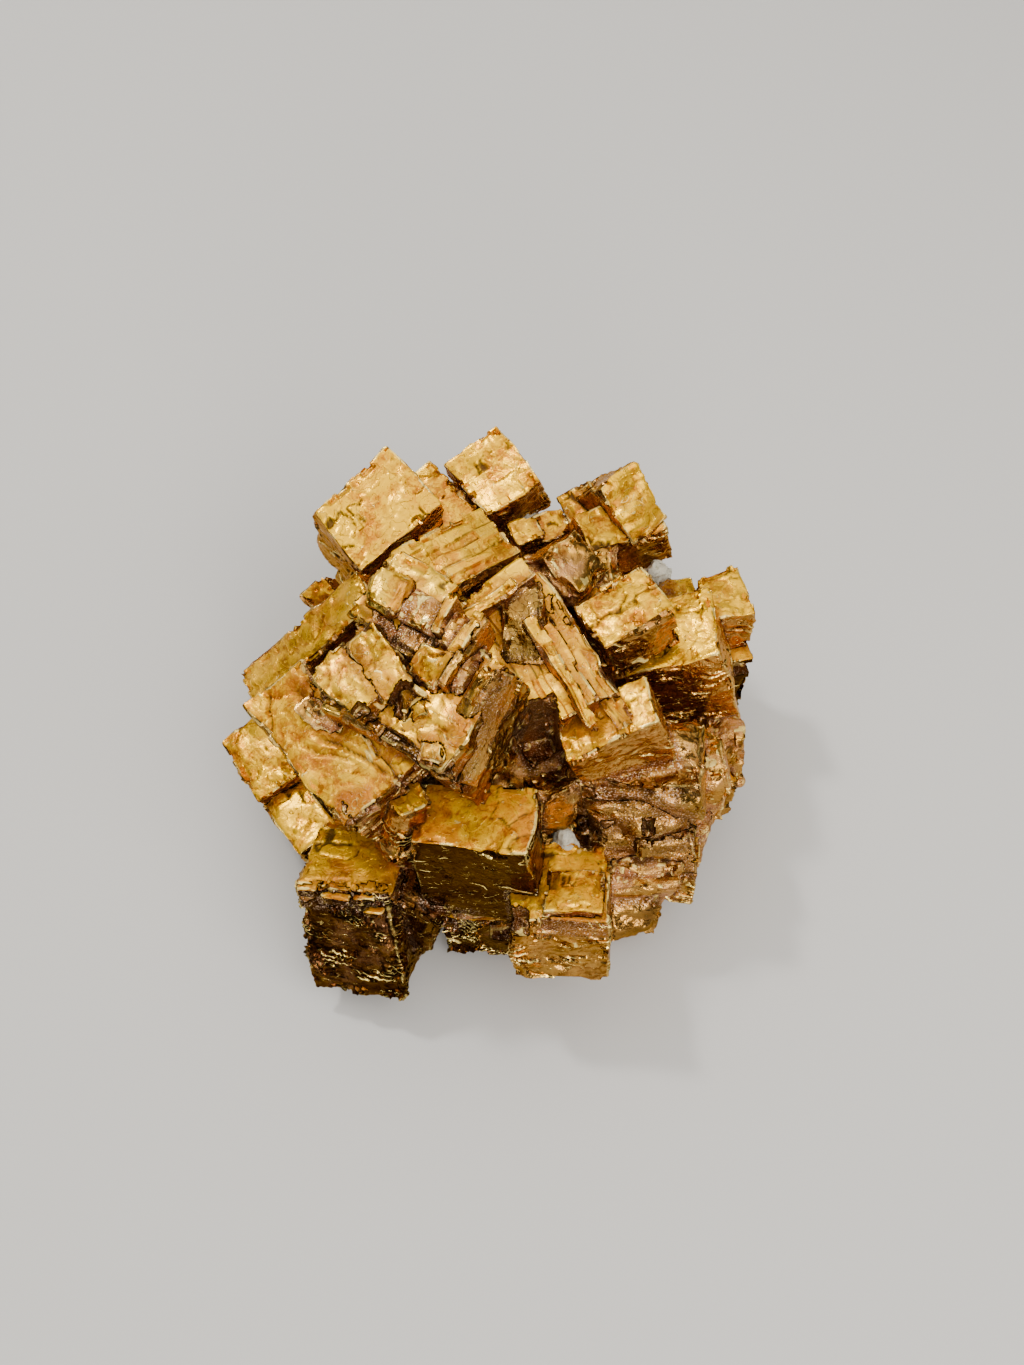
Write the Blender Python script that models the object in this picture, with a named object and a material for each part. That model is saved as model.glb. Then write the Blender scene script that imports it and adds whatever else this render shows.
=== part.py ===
"""Cluster of oxidised pyrite: cubes grown into one another, cut flat where they grew.

Blender 4.5, metres, +Z up.  Every crystal is a worn box with growth steps on its faces,
given by its size, the place of its centre and its turn.  All crystals are joined into one
closed solid, hollows are taken out of it, and its underside is cut flat to rest on.
Places are in millimetres from a point on the ground under the middle of the cluster.
"""
import math
import random

import bmesh
import bpy
from mathutils import Euler, Matrix, Vector

MM = 0.001
NODE = "pyrite_cluster"

WEAR = 0.25             # chamfer left on every crystal's edges by wear, mm
STEP_RISE = 0.45        # how far a growth step stands out from its face, mm
STEP_BURIAL = 1.2       # how deep a growth step reaches into its crystal, mm
STEP_COVER = (0.55, 0.85)   # share of a face's length that a growth step covers
STEP_INSET = 0.35       # how far a step keeps back from the edge that it grew from, mm
GROUND_DEPTH = 60.0     # size of the block that cuts the underside flat, mm
WELD = 0.00004          # points closer than this are one point, m

FACES = ("top", "front", "back", "left", "right")
NORMALS = {"top": (0, 0, 1), "front": (0, -1, 0), "back": (0, 1, 0),
           "left": (-1, 0, 0), "right": (1, 0, 0)}

BRONZE = (0.36, 0.20, 0.07, 1.0)
BRONZE_ROUGHNESS = 0.42
BRONZE_METALLIC = 0.75

# Growth steps are scattered, and the seed keeps them the same in every run.
chance = random.Random(41)


def clear_scene():
    """Start from an empty scene."""
    for item in list(bpy.data.objects):
        bpy.data.objects.remove(item, do_unlink=True)


def new_collection(name):
    group = bpy.data.collections.new(name)
    bpy.context.scene.collection.children.link(group)
    return group


def bronze_material():
    """Brown, half-metallic skin of oxidised pyrite."""
    material = bpy.data.materials.new("oxidised_pyrite")
    material.use_nodes = True
    shader = material.node_tree.nodes["Principled BSDF"]
    shader.inputs["Base Color"].default_value = BRONZE
    shader.inputs["Roughness"].default_value = BRONZE_ROUGHNESS
    shader.inputs["Metallic"].default_value = BRONZE_METALLIC
    return material


def add_box(group, name, size, centre, frame, wear=0.0):
    """A box of this size in mm, centred in its crystal's frame, with worn edges."""
    shape = bmesh.new()
    bmesh.ops.create_cube(shape, size=MM)
    bmesh.ops.scale(shape, vec=size, verts=shape.verts)
    if wear:
        bmesh.ops.bevel(shape, geom=shape.edges[:], offset=wear * MM, segments=1,
                        profile=0.5, affect="EDGES")
    place = frame @ Matrix.Translation(Vector(centre) * MM)
    bmesh.ops.transform(shape, matrix=place, verts=shape.verts)
    mesh = bpy.data.meshes.new(name)
    shape.to_mesh(mesh)
    shape.free()
    solid = bpy.data.objects.new(name, mesh)
    group.objects.link(solid)
    return solid


def crystal_frame(at, turn):
    """Where a crystal stands: its centre in mm and its turn in degrees."""
    spin = Euler([math.radians(angle) for angle in turn])
    return Matrix.Translation(Vector(at) * MM) @ spin.to_matrix().to_4x4()


def add_step(group, name, size, frame, face):
    """A growth step: a thin slab that covers one corner of a face and stands out from it."""
    normal = Vector(NORMALS[face])
    slab = []
    centre = []
    for axis in range(3):
        if normal[axis]:
            thick = STEP_BURIAL + STEP_RISE * chance.uniform(0.7, 1.3)
            slab.append(thick)
            centre.append(normal[axis] * (size[axis] / 2 - STEP_BURIAL + thick / 2))
        else:
            cover = size[axis] * chance.uniform(*STEP_COVER)
            side = chance.choice((-1, 1))
            slab.append(cover)
            centre.append(side * (size[axis] / 2 - cover / 2 - STEP_INSET))
    add_box(group, name, slab, centre, frame)


def add_crystal(group, name, size, at, turn, steps=("top", "front", "right")):
    """One crystal: a worn box and the growth steps on the faces named."""
    frame = crystal_frame(at, turn)
    add_box(group, name, size, (0, 0, 0), frame, WEAR)
    for face in steps:
        add_step(group, f"{name}_{face}_step", size, frame, face)


def add_core(group):
    """Massive pyrite that the crystals grow out of."""
    add_crystal(group, "core", (27, 25, 30), (-1, 2, 5.5), (4, -6, 22), ())
    add_crystal(group, "core_back", (24, 18, 26), (5, 12, 3.5), (-6, 5, -14), ())
    add_crystal(group, "core_front", (22, 16, 24), (6, -8, 2), (8, 4, 8), ())
    add_crystal(group, "core_left", (15, 19, 20), (-10.5, 2.5, 3.5), (-5, 8, 35), ())
    add_crystal(group, "core_crown", (12, 12, 16), (-3.5, -0.5, 20), (6, 8, 50), ())


def add_back_crystals(group):
    """Crystals along the top of the cluster's back edge."""
    add_crystal(group, "back_left_cube", (10.5, 8, 10.5), (-11.5, 19, 24), (14, -10, 43))
    add_crystal(group, "back_gold_cube", (7, 8, 8), (1, 26, 21.5), (8, -19, 34))
    add_crystal(group, "back_shelf", (7, 9, 8), (-6, 22.5, 20), (15, -13, 45), ("top",))
    add_crystal(group, "back_brown_cube", (5, 6.5, 8), (13.5, 22.5, 22.5), (36, -5, 40),
                ("top", "right"))
    add_crystal(group, "back_right_cube", (6, 5.5, 6), (15, 20.5, 20), (-2, -14, 22))
    add_crystal(group, "back_chip", (4.5, 4.5, 6), (10.5, 18.5, 22), (14, 12, 28), ("top",))
    add_crystal(group, "back_small_cube", (4, 4, 7), (11, 24.5, 19), (15, -28, 17), ("top",))
    add_crystal(group, "back_step_cube", (3.5, 3, 6), (7, 21.5, 19), (16, -10, 21), ())
    add_crystal(group, "back_tiny_cube", (3, 3, 5), (4, 20.5, 19.5), (11, -8, 23), ())
    add_crystal(group, "back_corner_cube", (2.6, 2.6, 4), (9.5, 16.5, 20), (20, 6, 35), ())


def add_right_crystals(group):
    """Crystals on the right-hand side, with bright tops and dark fronts."""
    add_crystal(group, "right_upper_cube", (7.5, 6, 6), (13.5, 5, 27), (-8, -10, 30))
    add_crystal(group, "right_upper_root", (6.5, 7, 12), (13.2, 6.5, 20.5), (-6, -8, 26), ())
    add_crystal(group, "right_big_cube", (9.5, 8, 11.5), (19.5, 6, 18), (-6, -18, 5))
    add_crystal(group, "right_far_cube", (4.5, 6.5, 11.5), (24.5, 12, 15), (-7, 0, 11),
                ("top", "front"))
    add_crystal(group, "right_far_shelf", (4, 5, 8), (24.8, 9, 11.5), (-10, 4, 14), ("front",))
    add_crystal(group, "right_low_cube", (4, 6, 8), (24.5, 0.5, 10), (-11, -2, 6),
                ("top", "front"))
    add_crystal(group, "right_low_lump", (3, 4, 6), (21.5, -3.5, 13.5), (-12, -15, 12), ())
    add_crystal(group, "right_low_chip", (3, 4, 5), (23.5, -3.5, 8), (-20, 10, 20), ())
    add_crystal(group, "right_inner_cube", (9.5, 5, 8.5), (12, -6, 24), (-5, -15, 15))


def add_front_crystals(group):
    """Crystals along the front, the two largest with dark upright faces."""
    add_crystal(group, "front_middle_cube", (11, 7, 12.5), (-0.5, -15, 18), (-10, -7, -7))
    add_crystal(group, "front_low_cube", (6.5, 6, 9), (-1, -16, 5.5), (-2, -3, -6), ("front",))
    add_crystal(group, "front_left_cube", (9.5, 11, 13.5), (-12, -16.5, 8), (-27, -11, -10),
                ("top", "right"))
    add_crystal(group, "front_left_twin", (7, 7, 9), (-7.5, -16, 10), (-6, 7, -19), ("front",))
    add_crystal(group, "front_right_cube", (9, 9, 9), (7, -19, 13.5), (-17, -5, -2),
                ("front", "left"))
    add_crystal(group, "front_right_shelf", (5.5, 5.2, 3), (8.2, -19.5, 17.9), (-17, -5, -2), ())


def add_lower_right_crystals(group):
    """Brown shelves that step down to the ground at the front right."""
    add_crystal(group, "shelf_top", (13.5, 8, 5.5), (14, -6.5, 19), (-10, -8, -6))
    add_crystal(group, "shelf_block", (3.5, 7, 6.5), (9.5, -6.8, 18.3), (-5, -5, -4), ("front",))
    add_crystal(group, "shelf_middle", (10.5, 8, 6.5), (15, -8, 14), (-13, -3, 3))
    add_crystal(group, "shelf_low", (6.5, 8, 7), (14.5, -10, 9.5), (-22, -4, 2))
    add_crystal(group, "shelf_corner", (2.8, 6, 6.5), (19.5, -12, 9), (-21, -2, -8), ("front",))
    add_crystal(group, "shelf_foot", (6, 8, 7), (14.2, -13.2, 5), (-20, 2, 4), ("front",))
    add_crystal(group, "shelf_end", (2.5, 6, 8.5), (21.2, -8, 9), (-4, -5, -20), ())


def add_left_crystals(group):
    """Crystals down the left-hand side."""
    add_crystal(group, "left_low_cube", (5, 8, 8), (-22.8, -1.5, 9.5), (7, -18, 32), ("top",))
    add_crystal(group, "left_foot_cube", (4.5, 7, 8), (-19, -7.5, 7), (2, -9, 38), ("top",))
    add_crystal(group, "left_upper_slope", (16.5, 4.5, 9), (-15.5, 5, 21.5), (-5, -34, 26),
                ("top",))
    add_crystal(group, "left_tip", (3, 2.5, 5), (-16.5, 10.5, 23), (10, -25, 40), ())
    add_crystal(group, "left_big_face", (6.5, 15, 13), (-13.5, -7, 23), (7, -20, 37), ("top",))
    add_crystal(group, "left_chip", (3.5, 4, 6), (-7.5, -13, 23), (-12, 14, 33), ())


def add_crown(group):
    """The great crystal on top, with its plates, blades and ridges."""
    add_crystal(group, "crown", (10, 14.5, 10.5), (-5, -5, 29.5), (-9, -15, 56), ())
    add_crystal(group, "crown_plate", (12, 9.2, 4), (-7.1, -2.7, 34.5), (-8, -15, 56), ("top",))
    add_crystal(group, "crown_back", (7.5, 7, 9), (-6.5, 2.5, 31.5), (-4, -12, 50), ("top",))
    add_crystal(group, "back_terrace", (12, 6.5, 10), (-4, 8.5, 28), (2, 10, 39))
    add_crystal(group, "terrace_ridge", (10, 2, 3), (0, 4.5, 31.5), (6, -4, 36), ())
    add_crystal(group, "terrace_inner_ridge", (8, 1.2, 3), (-0.6, 3, 32.2), (6, -4, 38), ())
    add_crystal(group, "inner_shelf", (4.5, 4, 6), (6.2, -9.8, 19.5), (-12, 10, 26))
    add_crystal(group, "slope", (10, 14, 10), (4.5, 0.5, 25.5), (10, -12, 28), ())
    add_crystal(group, "slope_ridge", (1.5, 13, 12), (7, -1.3, 27), (10, -12, 28), ())
    add_crystal(group, "slope_outer_ridge", (2.2, 13.5, 11), (9, 0.3, 25.2), (10, -12, 28), ())
    add_crystal(group, "slope_blade", (3, 9, 6), (2.6, 1, 29), (14, 6, 28), ())
    add_crystal(group, "rough_boss", (5.5, 5.5, 8), (6.5, 12, 24.5), (28, 8, 48), ("top",))
    add_crystal(group, "rough_boss_low", (5, 6, 7), (10.5, 12.5, 22.5), (12, 14, 20), ("top",))


def add_hidden_side_crystals(group):
    """Crystals round the flanks, low at the back, left and right."""
    add_crystal(group, "flank_back_cube", (10, 10, 11), (-10.5, 20, 11), (14, 16, 22))
    add_crystal(group, "flank_back_middle", (10, 9, 12), (-1, 24, 10), (-12, 8, -18))
    add_crystal(group, "flank_back_right", (9, 10, 10), (9.5, 21, 9), (10, -12, 32))
    add_crystal(group, "flank_right_back", (9, 9, 10), (18, 14, 9.5), (-8, 14, 12))
    add_crystal(group, "flank_right", (8, 9, 9), (20.5, 4, 7.5), (14, -8, 28))
    add_crystal(group, "flank_right_front", (7, 8, 8), (18.5, -5, 7), (8, 10, -16))
    add_crystal(group, "flank_left_back", (9, 9, 10), (-15.5, 8.5, 11), (10, 10, -24))
    add_crystal(group, "flank_left", (8, 9, 9), (-20, 4.5, 10), (6, -14, 12))
    add_crystal(group, "flank_left_front", (7, 8, 9), (-14.5, -5, 7), (12, 8, 30))
    add_crystal(group, "flank_front", (10, 7, 8), (4, -13.5, 6), (-6, 6, 10))
    add_crystal(group, "flank_back_low", (8, 7, 7), (3.5, 24.5, 5), (18, 20, 40))
    add_crystal(group, "flank_left_low", (7, 8, 7), (-19, 12, 5.5), (-14, 18, 8))


def add_hollows(group):
    """Pits, gaps and broken notches that are taken out of the cluster."""
    hollow = {
        "crown_pit": ((4.2, 4.6, 4), (-6.6, -9.2, 35.2), (4, -10, 40)),
        "crown_notch": ((2.2, 1.8, 3), (-11.2, -9, 34.4), (-9, -15, 56)),
        "deep_pit": ((4.2, 5.5, 12), (4.7, -7.2, 27), (0, 0, 12)),
        "shelf_hole": ((1.2, 5, 2), (15.5, -11.5, 17.4), (0, 0, 8)),
        "front_gap": ((2.5, 5, 3.5), (1.6, -20.5, 7.5), (0, 0, 10)),
        "front_notch": ((2.4, 5, 3), (2.6, -22.6, 18.6), (-17, -5, -2)),
        "right_notch": ((3, 4, 2.2), (26.4, 6.6, 14.6), (0, 0, 12)),
        "left_gap": ((1.4, 8, 7), (-15.6, -12, 18), (0, 0, 37)),
    }
    for name, (size, at, turn) in hollow.items():
        add_box(group, name, size, (0, 0, 0), crystal_frame(at, turn))
    ground = (4 * GROUND_DEPTH, 4 * GROUND_DEPTH, GROUND_DEPTH)
    add_box(group, "ground", ground, (0, 0, -GROUND_DEPTH / 2), Matrix.Identity(4))
    for cutter in group.objects:
        cutter.hide_render = True
        cutter.display_type = "WIRE"


def combine(solid, group, operation):
    """Join a whole collection to the solid, or take it away from the solid."""
    step = solid.modifiers.new(operation.lower(), "BOOLEAN")
    step.operation = operation
    step.solver = "EXACT"
    step.operand_type = "COLLECTION"
    step.collection = group
    with bpy.context.temp_override(object=solid, active_object=solid,
                                   selected_objects=[solid]):
        bpy.ops.object.modifier_apply(modifier=step.name)


def shells(shape):
    """The separate closed surfaces of a shape, each as a list of its faces."""
    waiting = set(shape.faces)
    found = []
    while waiting:
        shell = [waiting.pop()]
        for face in shell:
            for edge in face.edges:
                if len(edge.link_faces) == 2:
                    reached = waiting.intersection(edge.link_faces)
                    waiting -= reached
                    shell.extend(reached)
        found.append(shell)
    return found


def fill_voids(shape):
    """Keep the outer surface, so that spaces sealed between crystals become solid."""
    outside_last = sorted(shells(shape), key=len)
    for shell in outside_last[:-1]:
        bmesh.ops.delete(shape, geom=shell, context="FACES")


def tidy(solid):
    """Weld points that meet, take away faces without area and fill sealed spaces."""
    shape = bmesh.new()
    shape.from_mesh(solid.data)
    bmesh.ops.remove_doubles(shape, verts=shape.verts, dist=WELD)
    bmesh.ops.dissolve_degenerate(shape, edges=shape.edges, dist=WELD)
    bmesh.ops.triangulate(shape, faces=shape.faces)
    fill_voids(shape)
    shape.to_mesh(solid.data)
    shape.free()


def centre_on_ground(solid):
    """Put the middle of the cluster's box over the origin, and its cut face at height 0."""
    lows = [min(point.co[axis] for point in solid.data.vertices) for axis in range(3)]
    highs = [max(point.co[axis] for point in solid.data.vertices) for axis in range(3)]
    middle = [(low + high) / 2 for low, high in zip(lows, highs)]
    solid.data.transform(Matrix.Translation((-middle[0], -middle[1], -lows[2])))


def build_cluster():
    """Grow every crystal, join them, take out the hollows and set the cluster down."""
    cluster_group = new_collection("oxidised_pyrite")
    crystals = new_collection("crystals")
    hollows = new_collection("hollows")
    for grow in (add_back_crystals, add_right_crystals, add_front_crystals,
                 add_lower_right_crystals, add_left_crystals, add_crown,
                 add_hidden_side_crystals, add_core):
        grow(crystals)
    add_hollows(hollows)
    cluster = crystals.objects["core"]
    crystals.objects.unlink(cluster)
    cluster_group.objects.link(cluster)
    cluster.name = NODE
    cluster.data.name = NODE
    combine(cluster, crystals, "UNION")
    combine(cluster, hollows, "DIFFERENCE")
    for part in list(crystals.objects):
        bpy.data.objects.remove(part, do_unlink=True)
    tidy(cluster)
    centre_on_ground(cluster)
    cluster.data.materials.clear()
    cluster.data.materials.append(bronze_material())


clear_scene()
build_cluster()
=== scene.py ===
"""Looks of the oxidised pyrite cluster: each crystal's relief and skin, grains of host rock, studio.

Laid out as a Blender add-on and run as a script.  Crystals are measured in millimetres from
the point on the ground that they were set out from; everything in the scene is in metres.
"""
import math
from itertools import product
from typing import NamedTuple

import bpy
import numpy as np
from mathutils import Euler, Matrix, Vector


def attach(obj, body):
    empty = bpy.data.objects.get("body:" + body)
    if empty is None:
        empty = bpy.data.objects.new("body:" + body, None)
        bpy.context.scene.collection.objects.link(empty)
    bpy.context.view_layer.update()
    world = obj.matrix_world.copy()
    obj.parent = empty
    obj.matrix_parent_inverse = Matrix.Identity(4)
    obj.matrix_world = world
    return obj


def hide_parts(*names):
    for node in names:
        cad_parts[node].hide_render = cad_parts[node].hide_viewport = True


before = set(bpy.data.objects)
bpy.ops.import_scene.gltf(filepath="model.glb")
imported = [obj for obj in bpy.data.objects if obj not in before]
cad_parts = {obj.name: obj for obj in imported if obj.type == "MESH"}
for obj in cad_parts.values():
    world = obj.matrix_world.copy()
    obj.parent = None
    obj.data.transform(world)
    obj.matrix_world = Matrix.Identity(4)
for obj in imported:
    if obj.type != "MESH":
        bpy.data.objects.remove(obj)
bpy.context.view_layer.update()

bl_info = {
    "name": "Oxidised pyrite cluster",
    "version": (1, 0, 0),
    "blender": (4, 5, 0),
    "location": "3D View > Sidebar > Pyrite",
    "description": "Grows a cluster of intergrown oxidised pyrite cubes with their relief and skin",
    "category": "Object",
}

MM = 0.001
NODE = "pyrite_cluster"
BODY = "root"

# From the setting-out point to the middle of the cluster's box, in mm.
MIDDLE = np.array((-0.119, 3.451, 0.0))


class Habit(NamedTuple):
    """How a crystal's faces look: relief of top and sides, and how much of each tint."""
    top: str
    side: str
    # Gold on faces that look up and dark sides: partly the oxide's own colours, partly painted light
    # and shade.
    gold: float = 1.0    # golden oxide on faces that look up
    tone: float = 0.35   # sides, from almost black at 0 to amber at 1
    olive: float = 0.1
    rust: float = 0.1
    depth: float = 1.0   # of the relief
    stack: int = 2       # axis along which its layers are stacked
    wear: float = 1.0    # of the edges
    # Pale grains, part bare metal and part painted glints.
    bare: float = 0.0    # pale bare grains
    bend: float = 1.0    # away from a true block


# Some tones are painted light: 'dark' and 'ridged' fronts are darkened partly as painted reflection of
# dark surroundings, 'bright' fronts are lightened against the shade they stand in, and 'shaded' is
# drawn dark where shade falls.
HABITS = {
    "golden": Habit("plates", "scales", 1.0, 0.75),
    "amber": Habit("plates", "scales", 0.9, 0.62, depth=1.3),
    "bright": Habit("plates", "scales", 1.0, 1.0, 0.0, 0.0, 1.2),
    "dark": Habit("plates", "scales", 1.0, 0.03, 0.0, 0.0, 0.55),
    "shaded": Habit("plates", "scales", 0.1, 0.1, 0.0, 0.1, 1.5),
    "ridged": Habit("plates", "scales", 1.0, 0.08, 0.0, 0.1, 1.9),
    "streaked": Habit("waves", "scales", 0.95, 0.7, depth=1.3),
    "brown": Habit("plates", "scales", 0.8, 0.6, 0.25, 0.15, 1.3),
    "curled": Habit("shells", "grains", 0.6, 0.5, 0.3, bend=1.6),
    "flaky": Habit("shells", "layers", 0.95, 0.4, 0.1, 0.3, 1.1),
    "banded": Habit("layers", "layers", 0.3, 0.12, depth=0.8),
    "wavy": Habit("waves", "scales", 0.6, 0.85, 0.0, 0.6, 1.3, bend=1.8),
    "olive": Habit("plates", "layers", 0.8, 0.6, 0.8),
    "glassy": Habit("film", "film", 0.35, 0.7, 0.5, 0.05, wear=3.0),
    "lens": Habit("film", "film", 0.1, 0.5, 0.3, 0.0, wear=8.0, bend=1.5),
    "swirl": Habit("waves", "film", 0.12, 0.5, 0.1, 0.2, 1.3, wear=5.0, bend=2.2),
    "bar": Habit("film", "film", 0.9, 0.9, 0.7, 0.2),
    "block": Habit("film", "film", 0.08, 0.5, 0.1, 0.05, 2.0, wear=6.0, bend=2.2),
    "terraced": Habit("layers", "layers", 0.95, 0.7, 0.2, 0.35, stack=1),
    "ribbed": Habit("layers", "layers", 0.7, 0.7, 0.1, 0.5, stack=0, bend=1.8),
    "grainy": Habit("grains", "grains", 0.3, 0.75, 0.0, 0.8, wear=3.0, bend=1.8),
    "nose": Habit("waves", "film", 0.6, 0.7, 1.0, wear=7.0, bend=1.5),
    "lump": Habit("grains", "film", 0.35, 0.9, 0.3, 0.9, 0.8, wear=4.0),
    "valley": Habit("layers", "layers", 0.3, 0.3, 0.2, 0.4, 0.8, stack=1),
    "sparkle": Habit("grains", "grains", 0.6, 1.0, 0.3, 0.5, 0.6, bare=0.5),
    "shard": Habit("film", "layers", 0.6, 0.7, 0.5, 0.4, 0.6),
    "hidden": Habit("plates", "scales", 0.6, 0.6, 0.2, 0.4),
    "pit": Habit("grains", "film", 0.0, 0.45, 0.2, 0.2),
}


class Crystal(NamedTuple):
    """One crystal: size and place in mm, turn in degrees, habit and how coarse its net is."""
    name: str
    size: tuple
    at: tuple
    turn: tuple
    habit: str = "golden"
    net: float = 1.0


def turn_matrix(degrees):
    """A turn about x, y and z in degrees as a matrix."""
    return np.array(Euler([math.radians(angle) for angle in degrees]).to_matrix())


def on(parent, name, size, offset, habit, twist=(0, 0, 0)):
    """A crystal placed in its parent's own axes, with a twist in degrees from them."""
    spin = turn_matrix(parent.turn)
    turn = Matrix(spin @ turn_matrix(twist)).to_euler()
    return Crystal(name, size, tuple(spin @ np.array(offset) + parent.at),
                   tuple(math.degrees(angle) for angle in turn), habit)


# The crystals of each piece.
BACK = (
    Crystal("back_left_cube", (10.5, 8, 10.5), (-11.5, 19, 24), (14, -10, 43), "golden"),
    Crystal("back_gold_cube", (7, 8, 8), (1, 26, 21.5), (8, -19, 34), "golden"),
    Crystal("back_shelf", (7, 9, 8), (-6, 22.5, 20), (15, -13, 45), "amber"),
    Crystal("back_brown_cube", (5, 6.5, 8), (13.5, 22.5, 22.5), (36, -5, 40), "streaked"),
    Crystal("back_right_cube", (6, 5.5, 6), (15, 20.5, 20), (-2, -14, 22), "golden"),
    Crystal("back_chip", (4.5, 4.5, 6), (10.5, 18.5, 22), (14, 12, 28), "brown"),
    Crystal("back_small_cube", (4, 4, 7), (11, 24.5, 19), (15, -28, 17), "brown"),
    Crystal("back_step_cube", (3.5, 3, 6), (7, 21.5, 19), (16, -10, 21), "brown"),
    Crystal("back_tiny_cube", (3, 3, 5), (4, 20.5, 19.5), (11, -8, 23), "brown"),
    Crystal("back_corner_cube", (2.6, 2.6, 4), (9.5, 16.5, 20), (20, 6, 35), "brown"),
)
RIGHT = (
    Crystal("right_upper_cube", (7.5, 6, 6), (13.5, 5, 27), (-8, -10, 30), "amber"),
    Crystal("right_upper_root", (6.5, 7, 12), (13.2, 6.5, 20.5), (-6, -8, 26), "amber"),
    Crystal("right_big_cube", (9.5, 8, 11.5), (19.5, 6, 18), (-6, -18, 5), "bright"),
    Crystal("right_far_cube", (4.5, 6.5, 11.5), (24.5, 12, 15), (-7, 0, 11), "golden"),
    Crystal("right_far_shelf", (4, 5, 8), (24.8, 9, 11.5), (-10, 4, 14), "dark"),
    Crystal("right_low_cube", (4, 6, 8), (24.5, 0.5, 10), (-11, -2, 6), "grainy"),
    Crystal("right_low_lump", (3, 4, 6), (21.5, -3.5, 13.5), (-12, -15, 12), "grainy"),
    Crystal("right_low_chip", (3, 4, 5), (23.5, -3.5, 8), (-20, 10, 20), "amber"),
    Crystal("right_inner_cube", (9.5, 5, 8.5), (12, -6, 24), (-5, -15, 15), "golden"),
)
LEFT_CUBE = Crystal("front_left_cube", (9.5, 11, 13.5), (-12, -16.5, 8), (-27, -11, -10), "ridged")
FRONT = (
    Crystal("front_middle_cube", (11, 7, 12.5), (-0.5, -15, 18), (-10, -7, -7), "dark"),
    Crystal("front_low_cube", (6.5, 6, 9), (-1, -16, 5.5), (-2, -3, -6), "ridged"),
    LEFT_CUBE,
    on(LEFT_CUBE, "front_step_west", (2.8, 1.2, 1.3), (-3.2, -5.3, 6.1), "dark", (4, 0, 3)),
    on(LEFT_CUBE, "front_step_middle", (2.6, 1.2, 1), (-0.3, -5.3, 5.8), "dark", (3, 2, -2)),
    on(LEFT_CUBE, "front_step_east", (2.6, 1.3, 1.2), (2.2, -5.3, 6.0), "dark", (4, -2, 2)),
    on(LEFT_CUBE, "front_step_low", (2, 1, 0.7), (3.4, -5.4, 4.7), "dark", (5, 3, 0)),
    Crystal("front_left_cap", (9.2, 7.4, 2.6), (-12.8, -14.8, 14.1), (-17, -10, -10), "golden"),
    Crystal("front_left_twin", (7, 7, 9), (-7.5, -16, 10), (-6, 7, -19), "shaded"),
    Crystal("front_right_cube", (9, 9, 9), (7, -19, 13.5), (-17, -5, -2), "amber"),
    Crystal("front_right_shelf", (5.5, 5.2, 3), (8.2, -19.5, 17.9), (-17, -5, -2), "golden"),
)
SHELVES = (
    Crystal("shelf_top", (13.5, 8, 5.5), (14, -6.5, 19), (-10, -8, -6), "swirl"),
    Crystal("shelf_block", (3.5, 7, 6.5), (9.5, -6.8, 18.3), (-5, -5, -4), "block"),
    Crystal("shelf_middle", (10.5, 8, 6.5), (15, -8, 14), (-13, -3, 3), "block"),
    Crystal("shelf_mass", (10.3, 5, 11), (14.7, -10.0, 14.8), (-24, -3, 1), "block"),
    Crystal("shelf_band", (6.2, 5, 2.8), (17.2, -11.2, 14.4), (-16, -4, 2), "block"),
    Crystal("shelf_rim", (6.4, 4, 1.4), (15.6, -12.4, 12.4), (-16, -3, 2), "grainy"),
    Crystal("shelf_red_lump", (3, 4, 4.6), (10.4, -10.4, 12.9), (-8, 6, 12), "swirl"),
    Crystal("shelf_low", (6.3, 8, 6.4), (14.6, -10.2, 10), (-22, -6, 4), "block"),
    Crystal("shelf_frost", (5.8, 4.4, 2.4), (14.4, -13.3, 7.6), (-14, 4, 6), "grainy"),
    Crystal("shelf_corner", (2.8, 6, 6.5), (19.5, -12, 9), (-21, -2, -8), "brown"),
    Crystal("shelf_foot", (6, 8, 7), (14.2, -13.2, 5), (-20, 2, 4), "block"),
    Crystal("shelf_end", (2.5, 6, 8.5), (21.2, -8, 9), (-4, -5, -20), "grainy"),
    Crystal("shelf_fill", (3.4, 6, 8), (21.4, -5.4, 14.6), (-10, -8, 8), "grainy"),
    Crystal("inner_shelf", (4.5, 4, 6), (6.2, -9.8, 19.5), (-12, 10, 26), "swirl"),
)
BIG_FACE = Crystal("left_big_face", (6.5, 15, 13), (-13.5, -7, 23), (7, -20, 37), "flaky")
LEFT = (
    Crystal("left_low_cube", (5, 8, 8), (-22.8, -1.5, 9.5), (7, -18, 32), "golden"),
    Crystal("left_foot_cube", (4.5, 7, 8), (-19, -7.5, 7), (2, -9, 38), "golden"),
    Crystal("left_upper_slope", (16.5, 4.5, 9), (-15.5, 5, 21.5), (-5, -34, 26), "wavy"),
    Crystal("left_tip", (3, 2.5, 5), (-16.5, 10.5, 23), (10, -25, 40), "golden"),
    BIG_FACE,
    on(BIG_FACE, "left_inner_face", (5, 12.5, 9), (4.4, -0.8, 1.6), "flaky", (2, 3, 4)),
    on(BIG_FACE, "left_crumbs", (2.4, 4.6, 1.4), (2, 1.6, 6.2), "grainy", (2, 4, 10)),
    on(BIG_FACE, "left_end_crumbs", (2.8, 2, 1.2), (-0.9, -6.5, 6.2), "grainy", (4, 0, -20)),
    Crystal("left_chip", (3.5, 4, 6), (-7.5, -13, 23), (-12, 14, 33), "golden"),
)
CROWN_BODY = Crystal("crown", (10, 14.5, 10.5), (-5, -5, 29.5), (-9, -15, 56), "curled")
CROWN_PLATE = Crystal("crown_plate", (12, 9.2, 4), (-7.1, -2.7, 34.5), (-8, -15, 56))
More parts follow.
